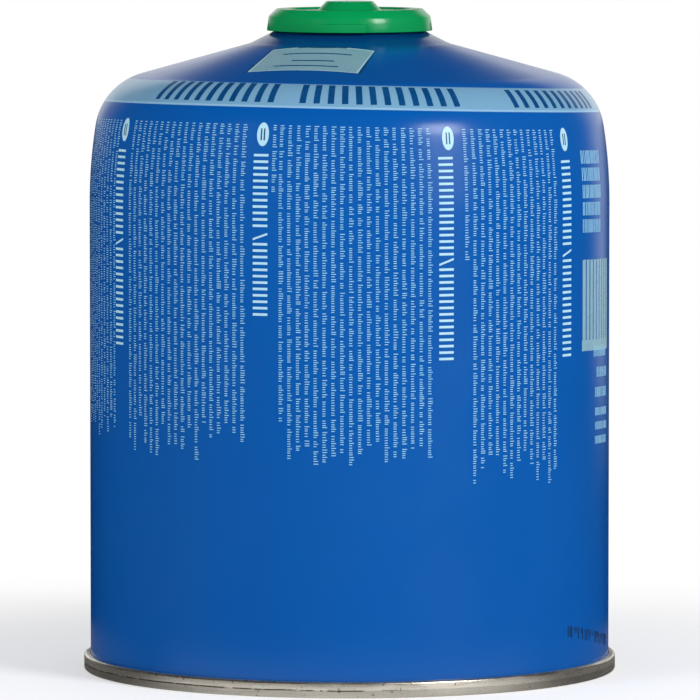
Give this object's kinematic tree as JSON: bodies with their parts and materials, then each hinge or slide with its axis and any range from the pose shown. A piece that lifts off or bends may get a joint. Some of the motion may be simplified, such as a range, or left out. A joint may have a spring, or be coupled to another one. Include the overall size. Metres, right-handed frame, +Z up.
{
  "type": "gas fuel canister",
  "caption": "Round steel gas fuel canister with a coned top, rolled base seam, crimped valve cup and a push-fit green cap",
  "frame": {"origin": "middle of the plane that the base seam stands on", "axes": "+Z up along the canister's own axis; -Y is the front, where the finger lip of the cap ends in its step"},
  "size_m": [0.11, 0.11, 0.138],
  "materials": {
    "painted_steel": "glossy blue lacquer with pale blue print",
    "bare_tinplate": "bright rolled tinplate with scuffs",
    "seal_rubber": "matt",
    "housing_plastic": "satin moulded",
    "cap_plastic": "semi-gloss moulded"
  },
  "bodies": {
    "root": {"can_shell": "painted_steel", "base_end": "bare_tinplate", "valve_cup": "bare_tinplate", "valve_gasket": "seal_rubber", "valve_housing": "housing_plastic", "cap": "cap_plastic"}
  },
  "joints": []
}
